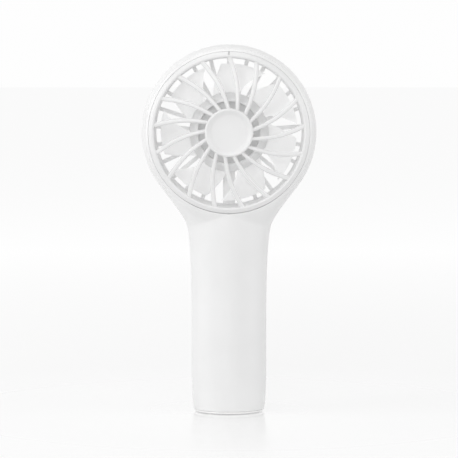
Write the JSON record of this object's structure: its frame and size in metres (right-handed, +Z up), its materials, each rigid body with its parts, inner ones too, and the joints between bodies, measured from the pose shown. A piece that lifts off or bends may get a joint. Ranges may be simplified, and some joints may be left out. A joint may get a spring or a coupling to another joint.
{
  "type": "handheld fan",
  "caption": "Battery handheld fan: round ducted head with a removable curved-spoke grille on a round upright handle.",
  "frame": {"origin": "centre of the base's underside, on the surface that the fan stands on", "axes": "+Z up along the handle, -Y out of the front grille, +X to the right seen from the front"},
  "size_m": [0.09, 0.0457, 0.19],
  "materials": {
    "casing_white": "satin white moulded ABS with a fine spark-eroded grain",
    "grille_white": "satin white moulded ABS",
    "blade_white": "smooth white moulded ABS",
    "guard_white": "satin white moulded ABS",
    "duct_white": "matt white moulded ABS",
    "button_white": "polished white moulded ABS",
    "pad_grey": "matt light grey silicone",
    "lens_clear": "frosted light-pipe acrylic",
    "cradle_black": "black moulded plastic",
    "cell_wrap": "blue shrink sleeve",
    "board_green": "green solder mask",
    "chip_black": "moulded epoxy",
    "steel": "plain steel",
    "nickel": "nickel strip",
    "magnet_grey": "bonded ferrite",
    "copper": "enamelled copper wire",
    "lead_sleeve": "silicone insulated wire",
    "aluminium_base": "die cast",
    "led_yellow": "phosphor over white package"
  },
  "bodies": {
    "casing": {"front_shell": "casing_white", "rear_shell": "casing_white", "base_cap": "casing_white", "base_pad": "pad_grey", "air_duct": "duct_white", "rear_guard": "guard_white", "motor_cover": "guard_white", "motor_base": "aluminium_base", "motor_bearings": "steel", "stator_core": "steel", "stator_windings": "copper", "motor_board": "board_green", "motor_screws": "steel", "battery_cell": "cell_wrap", "battery_cradle": "cradle_black", "battery_tabs": "nickel", "main_board": "board_green", "board_parts": "chip_black", "status_leds": "led_yellow", "light_guide": "lens_clear", "usb_socket": "steel", "usb_tongue": "chip_black", "button_switch": "chip_black", "motor_leads": "lead_sleeve", "shell_screws": "steel", "board_screws": "steel", "base_screws": "steel"},
    "grille": {"front_grille": "grille_white"},
    "impeller": {"impeller": "blade_white", "motor_shaft": "steel", "shaft_clip": "steel", "rotor_cup": "steel", "rotor_magnet": "magnet_grey"},
    "button": {"power_button": "button_white", "switch_plunger": "chip_black"}
  },
  "joints": [
    {"name": "impeller_spin", "type": "hinge", "parent": "casing", "child": "impeller", "pos_m": [0, 0, 0.145], "axis": [0, -1, 0], "continuous": true},
    {"name": "grille_twist", "type": "hinge", "parent": "casing", "child": "grille", "pos_m": [0, 0, 0.145], "axis": [0, -1, 0], "range_deg": [0, 18]},
    {"name": "button_press", "type": "slide", "parent": "casing", "child": "button", "axis": [0, -1, 0], "range_m": [0, 0.0005], "stiffness_N_per_m": 1500, "springref_m": -0.0004}
  ]
}
